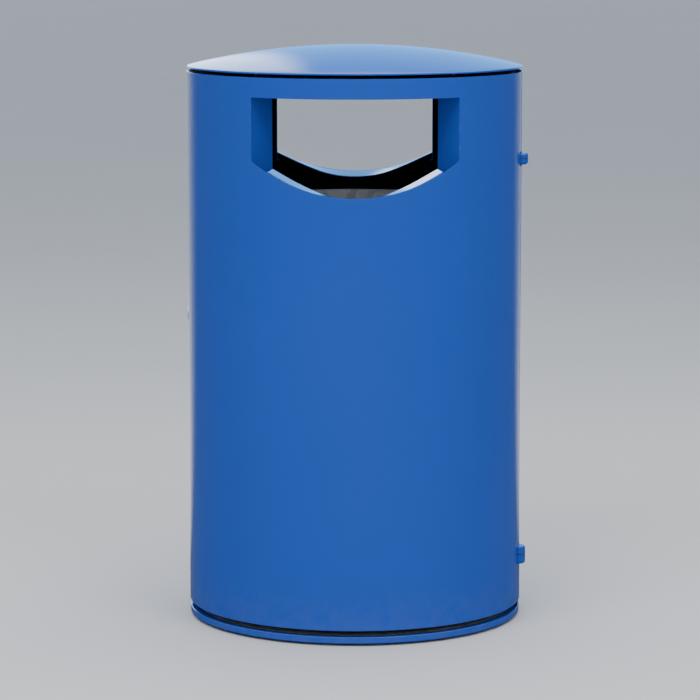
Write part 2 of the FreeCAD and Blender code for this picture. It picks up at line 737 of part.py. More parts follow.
def front_sill():
    """Dished lower panel between the smile of the mouth and the edge inside.

    At the shell it is one arc; at the throat it has straight flanks and a rounded middle.
    """
    sections = []
    for name, depth, half_width, end, bend, bend_end, curve, curved in (
        ("sill_front", "shell_radius", "sill_half_width", "sill_end", "front_bend",
         "front_bend", "mouth_curve", (0, 1, 2)),
        ("sill_back", "throat_depth", "throat_half_width", "throat_corner", "sill_bend",
         "back_bend", "back_curve", (1,)),
    ):
        section = free_section(name, depth)
        end_top = end if end == "throat_corner" else end + "_level"
        upper = [(half_width, end_top), (bend, bend_end + "_level")]
        lower = [(half_width, end + "_under"), (bend, bend_end + "_under")]
        corners = upper + [("-" + x, level) for x, level in reversed(upper)]
        corners += [("-" + x, level) for x, level in lower] + lower[::-1]
        bends = {index: (curve, -1) for index in curved}
        bends.update({index + 4: (curve, 1) for index in curved})
        add_outline(section, corners, bends)
        sections.append(section)
    loft = doc.addObject("Part::Loft", "sill_loft")
    loft.Sections = sections
    loft.Solid = True
    loft.Ruled = True
    limit = band("sill_limit", "inner_radius", "throat_radius", "shell_bottom", "shell_height")
    return common("sill", loft, limit)


def front_roof():
    """Flat top panel of the front mouth."""
    body = doc.addObject("PartDesign::Body", "roof")
    sketch = new_sketch(body, "roof_outline", "XY_Plane", "mouth_top")
    corners = [
        ("-cheek_back_x", "-cheek_back_y"),
        ("-roof_wide_x", "-shell_radius"),
        ("roof_wide_x", "-shell_radius"),
        ("cheek_back_x", "-cheek_back_y"),
    ]
    add_outline(sketch, corners)
    pad(body, sketch, "skin")
    limit = band("roof_limit", "inner_radius", "throat_radius", "shell_bottom", "shell_height")
    return common("roof", body, limit)


def build_mouths():
    across = Vector(1, 0, 0)
    rearward = Vector(0, 1, 0)
    right = right_cheek()
    left = mirrored("front_cheek_left", right, across)
    sill = front_sill()
    roof = front_roof()
    node(right, "front_cheek_right")
    node(left, "front_cheek_left")
    node(sill, "front_sill")
    node(roof, "front_roof")
    node(mirrored("rear_cheek_right", right, rearward), "rear_cheek_right")
    node(mirrored("rear_cheek_left", left, rearward), "rear_cheek_left")
    node(mirrored("rear_sill", sill, rearward), "rear_sill")
    node(mirrored("rear_roof", roof, rearward), "rear_roof")


# --- hinges --------------------------------------------------------------------------------

def at_hinge(item, hinge):
    """Place a piece drawn about the hinge's own axis."""
    return place(group(item.Name, [item]), "seam_turn", f"{hinge}_hinge_level",
                 "hinge_x", "hinge_y")


def barrel(name, hinge, sign, face, hole):
    """Bullet half of a lift-off hinge with the leaf that is welded inside its channel."""
    end = f"{sign}{hinge}_barrel_end"
    shoulder = f"{sign}{hinge}_barrel_shoulder"
    bore_end = f"{sign}{hinge}_bore_end"
    corners = [
        ("0", end),
        ("barrel_shoulder_x", end),
        ("barrel_radius", shoulder),
        ("barrel_radius", sign + face),
        (hole, sign + face),
        (hole, bore_end),
        ("0", bore_end),
    ]
    side = 1 if sign else -1
    body = revolved_body(name + "_barrel", corners, {1: ("barrel_round", side)})
    leaf_low_y = "-leaf_offset - leaf_thickness" if not sign else "leaf_offset"
    leaf_low_z = face if not sign else f"-{hinge}_barrel_shoulder"
    leaf = box(name + "_leaf", ("-leaf_length", leaf_low_y, leaf_low_z),
               ("leaf_length - barrel_radius / 2", "leaf_thickness",
                f"{hinge}_barrel_shoulder - {face}"))
    return at_hinge(fuse(name, body, leaf), hinge)


def build_hinges():
    washers = []
    for hinge in HINGES:
        fixed = barrel(f"casing_{hinge}_hinge", hinge, "-", "casing_face", "pin_radius")
        node(fixed, f"casing_{hinge}_hinge")
        moving = barrel(f"door_{hinge}_hinge", hinge, "", "door_face", "bore_radius")
        node(moving, f"door_{hinge}_hinge")
        pin = cylinder(f"{hinge}_pin", "pin_radius", f"2 * {hinge}_bore_end - slide_gap",
                       f"-{hinge}_bore_end")
        node(at_hinge(pin, hinge), f"{hinge}_hinge_pin")
        washer = band(f"{hinge}_washer", "barrel_radius - slide_gap", "pin_radius",
                      "-casing_face", "washer_thickness")
        washers.append(at_hinge(washer, hinge))
    node(group("hinge_washers", washers), "hinge_washers")


# --- lock ----------------------------------------------------------------------------------

def build_lock():
    head = rod("housing_head", "housing_head_radius", "housing_head",
               "-shell_radius - housing_head")
    barrel_part = rod("housing_barrel", "housing_radius", "shell_radius - housing_end",
                      "-shell_radius")
    hole = rod("housing_bore", "plug_radius + running_clearance", "2 * post_depth",
               "-shell_radius - housing_head")
    housing = cut("lock_housing", fuse("lock_housing", head, barrel_part), hole)
    node(at_lock(housing), "lock_housing")

    nut = lying("lock_nut_hex", "Part::Prism", {"Circumradius": "lock_nut_radius",
                "Height": "lock_nut_thickness"}, "-nut_face")
    nut.Polygon = 6
    nut_hole = rod("lock_nut_hole", "housing_radius", "lock_nut_thickness", "-nut_face")
    node(at_lock(cut("lock_nut", nut, nut_hole)), "lock_nut")

    core = rod("plug_core", "plug_radius", "shell_radius - cam_outer", "-shell_radius")
    spigot = rod("plug_spigot", "spigot_radius", "cam_outer - cam_inner", "-cam_outer")
    recess = rod("plug_recess", "plug_radius - 1", "key_recess", "-shell_radius")
    key_post = lying("plug_key_post", "Part::Prism", {"Circumradius": "key_side / sqrt(3)",
                     "Height": "key_recess"}, "-shell_radius")
    key_post.Polygon = 3
    tapping = rod("plug_tapping", "cam_screw_radius", "2 * key_recess",
                  "-cam_outer - key_recess")
    plug = fuse("lock_plug", cut("plug_recessed", fuse("plug", core, spigot), recess, tapping),
                key_post)
    node(at_lock(plug), "lock_plug")

    arm = box("cam_arm", ("-cam_outer", "0", "-cam_width / 2"),
              ("cam_thickness", "cam_reach - cam_width / 2", "cam_width"))
    hub = rod("cam_hub", "cam_width / 2", "cam_thickness", "-cam_outer")
    tip = rod("cam_tip", "cam_width / 2", "cam_thickness", "-cam_outer",
              "cam_reach - cam_width / 2")
    cam_hole = rod("cam_hole", "spigot_radius", "cam_thickness", "-cam_outer")
    node(at_lock(cut("lock_cam", fuse("lock_cam", arm, hub, tip), cam_hole)), "lock_cam")

    screw_head = rod("cam_screw_head", "cam_screw_head", "cam_thickness - slide_gap",
                     "-cam_inner")
    screw_shank = rod("cam_screw_shank", "cam_screw_radius", "cam_outer - cam_inner + key_recess",
                      "-cam_outer - key_recess")
    node(at_lock(fuse("cam_screw", screw_head, screw_shank)), "cam_screw")


def build_keeper():
    """Hooked bracket on the lock post; the turned cam stands behind its lip."""
    low_z = "cam_width / 2 + keeper_clearance"
    arm = box("keeper_arm", ("-keeper_outer", "-keeper_near - keeper_sheet", low_z),
              ("keeper_sheet", "keeper_near + keeper_sheet + keeper_far", "keeper_width"))
    lip = box("keeper_lip", ("-cam_outer - slide_gap", "-keeper_near - keeper_sheet", low_z),
              ("cam_outer + slide_gap - keeper_inner", "keeper_sheet", "keeper_width"))
    foot = box("keeper_foot_block", ("-shell_radius", "keeper_foot_near", low_z),
               ("shell_radius - keeper_inner", "keeper_foot", "keeper_width"))
    limit = cylinder("keeper_limit", "post_inner_radius", "keeper_width", low_z)
    keeper = common("lock_keeper", fuse("lock_keeper", arm, lip, foot), limit)
    node(at_lock(keeper), "lock_keeper")
    buffers = []
    for index, level in enumerate(BUFFER_LEVELS):
        buffer = lying(f"buffer_{index}", "Part::Cylinder",
                       {"Radius": "buffer_radius", "Height": "buffer_thickness"},
                       "-post_inner_radius - post_depth / 2",
                       "post_inner_radius * tan(seam_half_gap)", level, Vector(1, 0, 0))
        buffers.append(buffer)
    node(place(group("door_buffers", buffers), "seam_turn"), "door_buffers")


# --- lid -----------------------------------------------------------------------------------

def lid_spacer(name, turn):
    where = on_circle("lid_bolt_circle", turn)
    tube = cylinder(name + "_tube", "spacer_radius", "lid_gap", "shell_top", **where)
    hole = cylinder(name + "_hole", "lid_bolt_hole", "lid_gap", "shell_top", **where)
    return cut(name, tube, hole)


def lid_bolt(name, turn):
    where = on_circle("lid_bolt_circle", turn)
    low = "top_ring_bottom - lid_nut_height - lid_bolt_head"
    shank = cylinder(name + "_shank", "lid_bolt", f"lid_frame_top - ({low})", low, **where)
    head = cylinder(name + "_head", "lid_bolt * 1.75", "lid_bolt_head", "lid_frame_top", **where)
    return fuse(name, shank, head)


def lid_nut(name, turn):
    where = on_circle("lid_bolt_circle", turn)
    level = "top_ring_bottom - lid_nut_height"
    hexagon = doc.addObject("Part::Prism", name + "_hex")
    hexagon.Polygon = 6
    bind(hexagon, {"Circumradius": "lid_bolt * 1.9", "Height": "lid_nut_height"})
    place(hexagon, "0", level, **where)
    hole = cylinder(name + "_hole", "lid_bolt", "lid_nut_height", level, **where)
    return cut(name, hexagon, hole)


def build_lid():
    corners = [
        ("0", "lid_apex"),
        ("lid_radius", "lid_shoulder"),
        ("lid_radius", "lid_bottom"),
        ("lid_inner_radius", "lid_bottom"),
        ("lid_inner_radius", "lid_inner_shoulder"),
        ("0", "lid_inner_apex"),
    ]
    bends = {0: ("dome_radius", -1), 4: ("dome_inner_radius", 1)}
    node(revolved_body("lid_skin", corners, bends), "lid_skin")
    frame = ring_body("lid_frame", "lid_frame_radius", "top_ring_inner", "lid_bottom",
                      "lid_frame_sheet")
    bore(frame, "lid_frame_hole", "shell_bottom", "lid_bolt_hole", "lid_bolt_offset",
         "lid_bolt_offset", LID_BOLTS)
    node(frame, "lid_frame")
    crossbar = box("lid_crossbar_bar", ("-lid_bolt_circle", "-crossbar_width / 2", "lid_frame_top"),
                   ("2 * lid_bolt_circle", "crossbar_width", "crossbar_thickness"))
    node(crossbar, "lid_crossbar")
    node(around("lid_spacers", LID_BOLTS, "45", lid_spacer), "lid_spacers")
    node(around("lid_bolts", LID_BOLTS, "45", lid_bolt), "lid_bolts")
    node(around("lid_nuts", LID_BOLTS, "45", lid_nut), "lid_nuts")


# --- liner ---------------------------------------------------------------------------------

def handle_lugs():
    """Pair of eyes for the front drop handle, on the outside of the liner."""
    lugs = []
    for side, low_x in (("right", "lug_near_x"), ("left", "-lug_near_x - lug_thickness")):
        name = f"lug_{side}"
        eye = rod(name + "_eye", "lug_radius", "lug_thickness", low_x, "-handle_reach",
                  "handle_level")
        web = box(name + "_web", (low_x, "-handle_reach", "handle_level - lug_radius"),
                  ("lug_thickness", "handle_reach", "2 * lug_radius"))
        hole = rod(name + "_hole", "handle_wire + running_clearance", "lug_thickness", low_x,
                   "-handle_reach", "handle_level")
        wall = cylinder(name + "_wall", "liner_radius", "shell_height", "0")
        lugs.append(cut(name, fuse(name, eye, web), hole, wall))
    return group("front_lugs", lugs)


def drop_handle():
    """Bent wire handle that hangs from the front lugs."""
    path = free_section("handle_path", "handle_reach")
    corners = [
        ("handle_end_x", "handle_level"),
        ("handle_corner_x", "handle_level"),
        ("handle_half_width", "handle_high_corner"),
        ("handle_half_width", "handle_low_corner"),
        ("handle_corner_x", "handle_low"),
        ("-handle_corner_x", "handle_low"),
        ("-handle_half_width", "handle_low_corner"),
        ("-handle_half_width", "handle_high_corner"),
        ("-handle_corner_x", "handle_level"),
        ("-handle_end_x", "handle_level"),
    ]
    bends = {index: ("handle_bend", -1) for index in (1, 3, 5, 7)}
    add_outline(path, corners, bends, closed=False)
    profile = doc.addObject("Sketcher::SketchObject", "handle_section")
    profile.Placement = Placement(Vector(), Rotation(Vector(0, 1, 0), 90))
    add_circle(profile, "handle_wire")
    bind(profile, {
        "Placement.Base.x": "handle_end_x",
        "Placement.Base.y": "-handle_reach",
        "Placement.Base.z": "handle_level",
    })
    sweep = doc.addObject("Part::Sweep", "handle_sweep")
    sweep.Sections = [profile]
    sweep.Spine = (path, [f"Edge{count}" for count in range(1, len(corners))])
    sweep.Solid = True
    return sweep


def build_liner():
    shell = ring_body("liner_shell", "liner_radius", "liner_inner", "ring_top",
                      "liner_body_top - ring_top")
    node(shell, "liner_shell")
    base = ring_body("liner_base", "liner_inner", None, "ring_top", "liner_sheet")
    bore(base, "liner_drain_holes", "foot_gap", "liner_drain", "liner_drain_circle", "0",
         LINER_DRAINS)
    node(base, "liner_base")
    bead = doc.addObject("Part::Torus", "bead_torus")
    bind(bead, {
        "Radius1": "liner_radius + liner_bead",
        "Radius2": "liner_bead",
        "Placement.Base.z": "liner_body_top",
    })
    node(bead, "liner_bead")
    rearward = Vector(0, 1, 0)
    lugs = handle_lugs()
    handle = drop_handle()
    node(lugs, "front_lugs")
    node(mirrored("rear_lugs", lugs, rearward), "rear_lugs")
    node(handle, "front_handle")
    node(mirrored("rear_handle", handle, rearward), "rear_handle")


def check_and_write():
    """Stop on any failed object or bad shape, then write one STEP file for each sub-part."""
    doc.recompute()
    failed = [item.Name for item in doc.Objects if {"Invalid", "Error"} & set(item.State)]
    if failed:
        raise RuntimeError(f"failed objects: {failed}")
    for name, item in NODES:
        if item.Label != name:
            raise RuntimeError(f"{name} is labelled {item.Label}")
        if item.Shape.isNull() or not item.Shape.isValid() or not item.Shape.Solids:
            raise RuntimeError(f"{name} has no valid solid")
    os.makedirs("parts", exist_ok=True)
    for name, item in NODES:
        item.Shape.exportStep(f"parts/{name}.step")
        print(name, len(item.Shape.Solids), round(item.Shape.Volume), item.Shape.BoundBox)


build_base()
build_frame()
build_shells()
build_door_frame()
build_mouths()
build_hinges()
build_lock()
build_keeper()
build_lid()
build_liner()
check_and_write()
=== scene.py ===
import json
from math import asin, atan2, cos, degrees, hypot, pi, radians, sin, sqrt, tan

import bpy
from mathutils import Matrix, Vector


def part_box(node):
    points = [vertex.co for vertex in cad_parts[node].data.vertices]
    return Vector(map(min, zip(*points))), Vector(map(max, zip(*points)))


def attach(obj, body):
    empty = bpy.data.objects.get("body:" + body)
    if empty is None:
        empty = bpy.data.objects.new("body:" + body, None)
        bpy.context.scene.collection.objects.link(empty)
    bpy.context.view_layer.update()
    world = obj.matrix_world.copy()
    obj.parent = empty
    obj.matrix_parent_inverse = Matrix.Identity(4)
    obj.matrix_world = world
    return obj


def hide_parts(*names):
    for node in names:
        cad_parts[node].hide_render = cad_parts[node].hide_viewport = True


# Round street litter bin in glossy blue powder coat, with a mouth front and rear, a domed lid,
# a hinged front half and a galvanised liner. Metres, +Z up, -Y is the front.
# Turns are degrees about +Z from +X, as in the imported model.

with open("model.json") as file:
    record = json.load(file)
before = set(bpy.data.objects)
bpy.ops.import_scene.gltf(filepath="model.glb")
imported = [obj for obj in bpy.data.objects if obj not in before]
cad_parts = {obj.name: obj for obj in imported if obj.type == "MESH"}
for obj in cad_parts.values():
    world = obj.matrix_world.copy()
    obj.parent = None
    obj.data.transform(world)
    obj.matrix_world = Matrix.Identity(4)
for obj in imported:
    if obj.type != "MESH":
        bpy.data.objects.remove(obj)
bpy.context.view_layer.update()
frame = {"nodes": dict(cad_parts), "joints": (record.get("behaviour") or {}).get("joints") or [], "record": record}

NODES = frame["nodes"]
BODY_OF = {node: body for body, nodes in frame["record"]["behaviour"]["bodies"].items()
           for node in nodes}
SLOT_OF = {row["node"]: row["material_slot"] for row in frame["record"]["subparts"]}
JOINTS = {joint["name"]: joint for joint in frame["joints"]}

# --- sizes -----------------------------------------------------------------------------------

SKIN = 0.002                        # painted sheet
EDGE = 0.0009                       # rounding of cut sheet edges
FINE_EDGE = 0.0005                  # rounding of the lid's lower edge and the mouth panels
PLATE_EDGE = 0.0004                 # rounding of frame plates, brackets and hinges
SCREW_EDGE = 0.0003                 # rounding of screws and lock parts
SOFT_EDGE = 0.0006                  # rounding of rubber pads
RING_EDGE = 0.0012                  # rounding of the base ring's outer corners
WELD = 0.000002                     # points closer than this are joined
COLUMN = 0.75                       # degrees between the uprights of a rolled sheet
TURNS = 240                         # steps of a full spin
LINER_TURNS = 160                   # steps of a full spin for the liner

shell_low, shell_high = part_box("door_shell")
SHELL_RADIUS = -shell_low.y
INNER_RADIUS = SHELL_RADIUS - SKIN
SHELL_BOTTOM, SHELL_TOP = shell_low.z, shell_high.z

MOUTH_HALF_WIDTH = 0.158
MOUTH_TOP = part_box("front_roof")[0].z
MOUTH_SIDE_BOTTOM = 0.742
MOUTH_BOTTOM = 0.689
SILL_HALF_WIDTH = 0.138
THROAT_RADIUS = 0.209
THROAT_HALF_WIDTH = 0.1265
THROAT_CORNER = 0.7265
SILL_SLOPE = radians(26)            # straight flanks of the sill at the throat
SILL_BEND = 0.056                   # half width of its rounded middle there
MOUTH_SAG = MOUTH_SIDE_BOTTOM - MOUTH_BOTTOM
MOUTH_CURVE = (MOUTH_HALF_WIDTH ** 2 + MOUTH_SAG ** 2) / (2 * MOUTH_SAG)
MOUTH_HALF_TURN = degrees(asin(MOUTH_HALF_WIDTH / SHELL_RADIUS))

hinge_place = Vector(JOINTS["door_swing"]["pos_m"])
SEAM_TURN = degrees(atan2(hinge_place.y, hinge_place.x))
SEAM_HALF_GAP = 0.32                # degrees
NOTCH_RADIUS = 0.0108
NOTCH_TURN = degrees(asin(NOTCH_RADIUS / SHELL_RADIUS))
BARREL_GAP = 0.0008
NOTCH_MARGIN = 0.012                # least height of shell between a hinge cut-out and the mouth
SHELL_BANDS = (0.32, 0.52)          # levels of the plain rows of the shell
LIP_FALL = 0.001                    # beyond the mouth its row falls by this for each degree
LIP_FALL_LIMIT = 0.009
MOUTH_ROWS = (6, 7)                 # rows of the shell's grid that the mouth takes out
NOTCH_ROWS = (1, 5, 6)              # rows that the hinge cut-outs take out
TURN_SLACK = 0.01                   # degrees
COAT_SLACK = 0.0002                 # distance within which a face counts as the inner one

RING_WIDTH = 0.012
LID_LIP = 0.003                     # height of the lid's upright edge
LID_ROLL = 0.0014                   # radius between its dome and that edge
LID_STEPS = 44
LINER_SHEET = 0.0012
RIB_LEVELS = (0.22, 0.44)
RIB_HALF = 0.009
RIB_DEPTH = 0.0022
RIB_STEPS = 6                       # on each side of a rib's middle

FRONT_TURN = 270
REAR_TURN = 90


# --- selecting, naming and finishing ---------------------------------------------------------

def none_selected():
    if bpy.context.object and bpy.context.object.mode != "OBJECT":
        bpy.ops.object.mode_set(mode="OBJECT")
    bpy.ops.object.select_all(action="DESELECT")


def work_on(piece):
    none_selected()
    piece.select_set(True)
    bpy.context.view_layer.objects.active = piece


def named(name):
    piece = bpy.context.active_object
    piece.name = name
    piece.data.name = name
    return piece


def modified(piece, kind, **values):
    """Add one modifier and apply it."""
    work_on(piece)
    modifier = piece.modifiers.new(kind.lower(), kind)
    for key, value in values.items():
        setattr(modifier, key, value)
    bpy.ops.object.modifier_apply(modifier=modifier.name)
    return piece


def rounded_edges(piece, width, corner=40, segments=2):
    return modified(piece, "BEVEL", width=width, segments=segments, limit_method="ANGLE",
                    angle_limit=radians(corner), use_clamp_overlap=True)


def smooth(piece, corner=32):
    """Smooth shading between sharp edges, with small roundings giving way to wide faces."""
    work_on(piece)
    bpy.ops.object.shade_smooth_by_angle(angle=radians(corner))
    return modified(piece, "WEIGHTED_NORMAL", keep_sharp=True)


def cleaned(piece):
    """Close seams and poles and turn every face outwards."""
    work_on(piece)
    bpy.ops.object.mode_set(mode="EDIT")
    bpy.ops.mesh.select_all(action="SELECT")
    bpy.ops.mesh.remove_doubles(threshold=WELD)
    bpy.ops.mesh.normals_make_consistent(inside=False)
    bpy.ops.object.mode_set(mode="OBJECT")
    return piece


def fitted(piece, node):
    """Give the piece the body, slot and finish of the node that it stands for."""
    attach(piece, BODY_OF[node])
    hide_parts(node)
    piece.data.materials.clear()
    piece.data.materials.append(FINISHES[SLOT_OF[node]])
    return piece


def shade_painted_inside(piece, is_inside):
    """Second coat, a painted shade, on the faces that the test picks, from their centre and normal."""
    piece.data.materials.append(interior_painted_shade)
    for face in piece.data.polygons:
        if is_inside(face.center, face.normal):
            face.material_index = len(piece.data.materials) - 1
    return piece


# --- shader node helpers ---------------------------------------------------------------------

def new_material(name, look):
    """Material with a Principled shader whose fixed values are set on its own sockets."""
    material = bpy.data.materials.new(name)
    material.use_nodes = True
    shader = material.node_tree.nodes["Principled BSDF"]
    for socket, value in look.items():
        shader.inputs[socket].default_value = value
    return material, shader


def add_node(tree, kind, inputs=None, **settings):
    node = tree.nodes.new(kind)
    for key, value in settings.items():
        setattr(node, key, value)
    for socket, value in (inputs or {}).items():
        if isinstance(value, bpy.types.NodeSocket):
            tree.links.new(value, node.inputs[socket])
        else:
            node.inputs[socket].default_value = value
    return node


def maths(tree, operation, first, second=None, clamp=False):
    inputs = {0: first} if second is None else {0: first, 1: second}
    return add_node(tree, "ShaderNodeMath", inputs, operation=operation,
                    use_clamp=clamp).outputs[0]


def mixed(tree, share, first, second):
    """Colour between two colours."""
    node = add_node(tree, "ShaderNodeMix", data_type="RGBA")
    for socket, value in ((node.inputs[0], share), (node.inputs[6], first),
                          (node.inputs[7], second)):
        if isinstance(value, bpy.types.NodeSocket):
            tree.links.new(value, socket)
        else:
            socket.default_value = value
    return node.outputs[2]


def new_group(name, inputs, outputs):
    """Node group with float inputs given as {name: value} and outputs as {name: type}."""
    tree = bpy.data.node_groups.new(name, "ShaderNodeTree")
    for label, value in inputs.items():
        socket = tree.interface.new_socket(label, in_out="INPUT", socket_type="NodeSocketFloat")
        socket.default_value = value
    for label, kind in outputs.items():
        tree.interface.new_socket(label, in_out="OUTPUT", socket_type=kind)
    entry = tree.nodes.new("NodeGroupInput")
    exit_node = tree.nodes.new("NodeGroupOutput")
    return tree, entry, exit_node


def place_group(material, group, **values):
    node = material.node_tree.nodes.new("ShaderNodeGroup")
    node.node_tree = group
    for label, value in values.items():
        node.inputs[label.replace("_", " ").capitalize()].default_value = value
    return node


FLOAT = "NodeSocketFloat"


def grain_group():
    """Fine and broad noise: a height for bumps and a value for uneven gloss and colour."""
    tree, entry, leave = new_group(
        "coat_grain", {"Fine scale": 900.0, "Broad scale": 6.0, "Broad share": 0.2},
        {"Height": FLOAT, "Cloud": FLOAT})
    place = add_node(tree, "ShaderNodeTexCoord").outputs["Object"]
    fine = add_node(tree, "ShaderNodeTexNoise",
                    {"Vector": place, "Scale": entry.outputs["Fine scale"], "Detail": 3.0})
    broad = add_node(tree, "ShaderNodeTexNoise",
                     {"Vector": place, "Scale": entry.outputs["Broad scale"], "Detail": 4.0,
                      "Roughness": 0.55})
    lift = maths(tree, "MULTIPLY", broad.outputs["Fac"], entry.outputs["Broad share"])
    height = maths(tree, "ADD", fine.outputs["Fac"], lift)
    tree.links.new(height, leave.inputs["Height"])
    tree.links.new(broad.outputs["Fac"], leave.inputs["Cloud"])
    return tree


def wear_group():
    """Mask of rubbed edges, broken up by noise."""
    tree, entry, leave = new_group(
        "edge_wear", {"Width": 0.0012, "Amount": 1.0, "Breakup": 90.0}, {"Mask": FLOAT})
    round_normal = add_node(tree, "ShaderNodeBevel", {"Radius": entry.outputs["Width"]}, samples=4)
    surface = add_node(tree, "ShaderNodeNewGeometry")
    likeness = add_node(tree, "ShaderNodeVectorMath",
                        {0: round_normal.outputs["Normal"], 1: surface.outputs["Normal"]},
                        operation="DOT_PRODUCT")
    bend = maths(tree, "SUBTRACT", 1.0, likeness.outputs["Value"])
    place = add_node(tree, "ShaderNodeTexCoord").outputs["Object"]
    noise = add_node(tree, "ShaderNodeTexNoise",
                     {"Vector": place, "Scale": entry.outputs["Breakup"], "Detail": 4.0})
    patch = add_node(tree, "ShaderNodeMapRange",
                     {"Value": noise.outputs["Fac"], "From Min": 0.42, "From Max": 0.62})
    strength = maths(tree, "MULTIPLY", bend, entry.outputs["Amount"])
    mask = maths(tree, "MULTIPLY", strength, patch.outputs["Result"], clamp=True)
    tree.links.new(mask, leave.inputs["Mask"])
    return tree


def dust_group():
    """Mask of dirt splashed up from the ground and thinning with height."""
    tree, entry, leave = new_group(
        "ground_dust", {"Reach": 0.12, "Amount": 0.5, "Scale": 35.0}, {"Mask": FLOAT})
    place = add_node(tree, "ShaderNodeTexCoord").outputs["Object"]
    height = add_node(tree, "ShaderNodeSeparateXYZ", {"Vector": place}).outputs["Z"]
    fade = add_node(tree, "ShaderNodeMapRange",
                    {"Value": height, "From Min": 0.0, "From Max": entry.outputs["Reach"],
                     "To Min": 1.0, "To Max": 0.0}, interpolation_type="SMOOTHSTEP")
    noise = add_node(tree, "ShaderNodeTexNoise",
                     {"Vector": place, "Scale": entry.outputs["Scale"], "Detail": 6.0,
                      "Roughness": 0.7})
    spots = add_node(tree, "ShaderNodeMapRange",
                     {"Value": noise.outputs["Fac"], "From Min": 0.35, "From Max": 0.75})
    spread = maths(tree, "MULTIPLY", fade.outputs["Result"], spots.outputs["Result"])
    mask = maths(tree, "MULTIPLY", spread, entry.outputs["Amount"], clamp=True)
    tree.links.new(mask, leave.inputs["Mask"])
    return tree


def spangle_group():
    """Crystal pattern of hot-dip zinc: a shade for each crystal and a faint relief."""
    tree, entry, leave = new_group(
        "zinc_spangle", {"Scale": 70.0, "Contrast": 0.3}, {"Shade": FLOAT, "Height": FLOAT})
    place = add_node(tree, "ShaderNodeTexCoord").outputs["Object"]
    stir = add_node(tree, "ShaderNodeTexNoise", {"Vector": place, "Scale": 60.0, "Detail": 3.0})
    pushed = add_node(tree, "ShaderNodeVectorMath",
                      {0: stir.outputs["Color"], "Scale": 0.012}, operation="SCALE")
    bent = add_node(tree, "ShaderNodeVectorMath", {0: place, 1: pushed.outputs["Vector"]},
                    operation="ADD")
    crystals = add_node(tree, "ShaderNodeTexVoronoi",
                        {"Vector": bent.outputs["Vector"], "Scale": entry.outputs["Scale"]})
    tone = add_node(tree, "ShaderNodeSeparateColor", {"Color": crystals.outputs["Color"]})
    centred = maths(tree, "SUBTRACT", tone.outputs["Red"], 0.5)
    shade = maths(tree, "MULTIPLY", centred, entry.outputs["Contrast"])
    tree.links.new(shade, leave.inputs["Shade"])
    tree.links.new(crystals.outputs["Distance"], leave.inputs["Height"])
    return tree


grain = grain_group()
edge_wear = wear_group()
ground_dust = dust_group()
spangle = spangle_group()


def bumped(material, shader, height, distance, strength=1.0):
    """Let a height drive the shader's normal."""
    tree = material.node_tree
    node = add_node(tree, "ShaderNodeBump",
                    {"Height": height, "Distance": distance, "Strength": strength})
    tree.links.new(node.outputs["Normal"], shader.inputs["Normal"])


def uneven(material, shader, cloud, low, high):
    """Let a mask move the roughness between two limits."""
    tree = material.node_tree
    node = add_node(tree, "ShaderNodeMapRange",
                    {"Value": cloud, "From Min": 0.2, "From Max": 0.8, "To Min": low,
                     "To Max": high}, interpolation_type="SMOOTHSTEP")
    tree.links.new(node.outputs["Result"], shader.inputs["Roughness"])


def coat(name, colour, shade, worn, dust, gloss, fine_scale, peel, specular, dirt=0.1):
    """Powder coat: clouded colour, orange peel, rubbed edges and dust near the ground."""
    material, shader = new_material(name, {"Specular IOR Level": specular})
    tree = material.node_tree
    noise = place_group(material, grain, fine_scale=fine_scale, broad_scale=4.0, broad_share=0.0)
    edges = place_group(material, edge_wear, width=0.0012, amount=1.5, breakup=90.0)
    dirty = place_group(material, ground_dust, reach=0.11, amount=dirt, scale=38.0)
    clouded = mixed(tree, noise.outputs["Cloud"], shade, colour)
    rubbed = mixed(tree, edges.outputs["Mask"], clouded, worn)
    dusty = mixed(tree, dirty.outputs["Mask"], rubbed, dust)
    tree.links.new(dusty, shader.inputs["Base Color"])
    uneven(material, shader, noise.outputs["Cloud"], *gloss)
    bumped(material, shader, noise.outputs["Height"], peel)
    return material


DARK_CRYSTAL = 0.45                 # share of the sheet's colour
LIGHT_CRYSTAL = 1.35
RUST_DIRT = (0.09, 0.075, 0.06, 1.0)


def zinc(name, colour, gloss, contrast, scale, metallic):
    """Galvanised sheet with crystals that differ in shade and gloss."""
    material, shader = new_material(name, {"Metallic": metallic})
    tree = material.node_tree
    crystals = place_group(material, spangle, scale=scale, contrast=contrast)
    noise = place_group(material, grain, fine_scale=500.0, broad_scale=9.0, broad_share=0.3)
    dirty = place_group(material, ground_dust, reach=0.5, amount=0.5, scale=22.0)
    shade = maths(tree, "ADD", crystals.outputs["Shade"], 0.5)
    dark = [channel * DARK_CRYSTAL for channel in colour[:3]] + [1.0]
    light = [min(1.0, channel * LIGHT_CRYSTAL) for channel in colour[:3]] + [1.0]
    crystal = mixed(tree, shade, dark, light)
    stained = mixed(tree, dirty.outputs["Mask"], crystal, RUST_DIRT)
    tree.links.new(stained, shader.inputs["Base Color"])
    uneven(material, shader, noise.outputs["Cloud"], *gloss)
    bumped(material, shader, crystals.outputs["Height"], 0.0002, 0.4)
    return material


def moulded(name, colour, worn, gloss, fine_scale, relief):
    """Rubber or nylon with a fine moulded skin."""
    material, shader = new_material(name, {"Specular IOR Level": 0.35})
    tree = material.node_tree
    noise = place_group(material, grain, fine_scale=fine_scale, broad_scale=30.0, broad_share=0.5)
    edges = place_group(material, edge_wear, width=0.001, amount=1.2, breakup=140.0)
    tone = mixed(tree, noise.outputs["Cloud"], colour, worn)
    tree.links.new(mixed(tree, edges.outputs["Mask"], tone, worn), shader.inputs["Base Color"])
    uneven(material, shader, noise.outputs["Cloud"], *gloss)
    bumped(material, shader, noise.outputs["Height"], relief)
    return material
